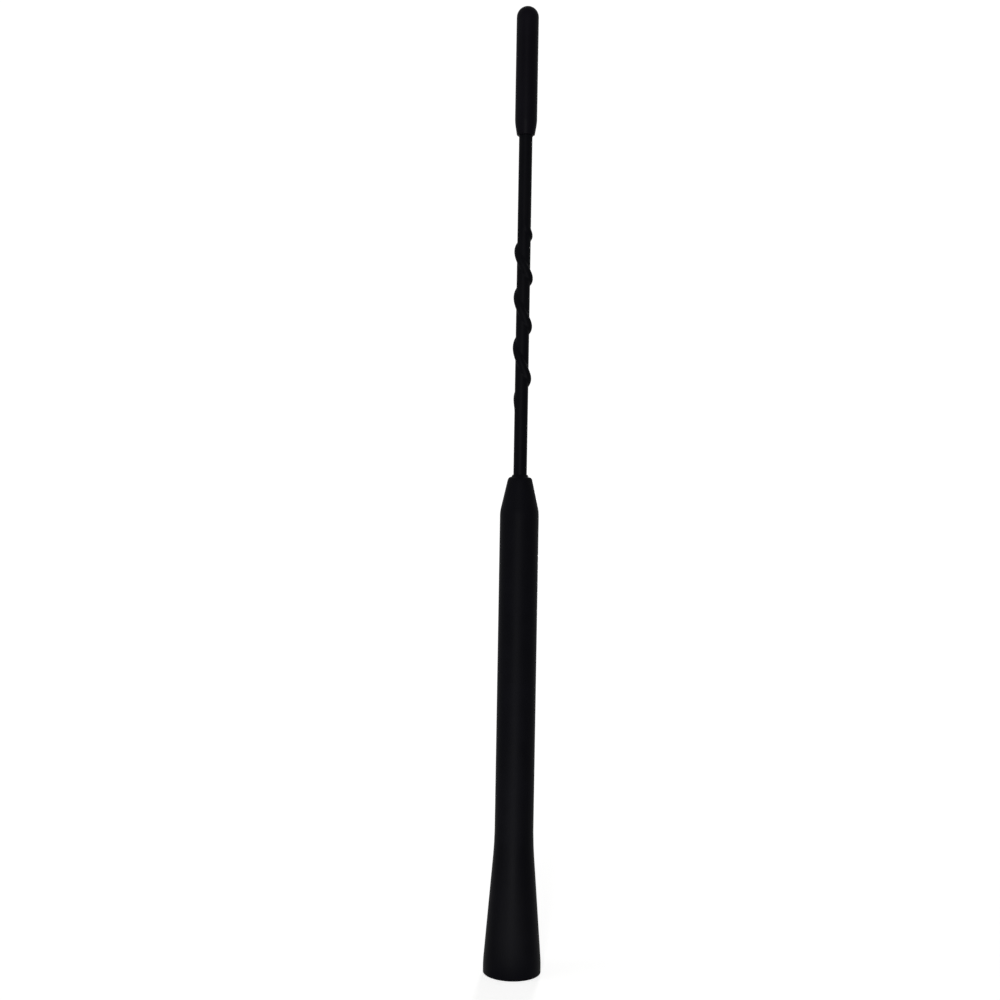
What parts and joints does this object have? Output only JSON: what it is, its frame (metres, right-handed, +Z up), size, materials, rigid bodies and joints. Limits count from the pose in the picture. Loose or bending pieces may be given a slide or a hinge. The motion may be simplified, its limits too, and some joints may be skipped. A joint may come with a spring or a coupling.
{
  "type": "roof antenna mast",
  "caption": "Screw-on whip mast for a car roof antenna: flared rubber sleeve over a loading coil, thin whip with a wind-noise spiral and a capped tip, tapped brass insert in the foot.",
  "frame": {"origin": "centre of the foot's rim, in the plane that meets the roof base", "axes": "+Z runs up the mast from the foot to the tip; -Y faces the viewer of the picture"},
  "size_m": [0.016, 0.0158, 0.266],
  "materials": {
    "sleeve_rubber": "moulded, matt",
    "sheath_rubber": "moulded, matt",
    "cap_rubber": "moulded, satin",
    "brass": "turned",
    "former_plastic": "drawn rod",
    "copper": "enamelled wire",
    "spring_steel": "drawn wire"
  },
  "bodies": {
    "root": {"mast_sleeve": "sleeve_rubber", "whip_sheath": "sheath_rubber", "tip_cap": "cap_rubber", "threaded_insert": "brass", "whip_ferrule": "brass", "coil_former": "former_plastic", "loading_coil": "copper", "whip_core": "spring_steel"}
  },
  "joints": []
}
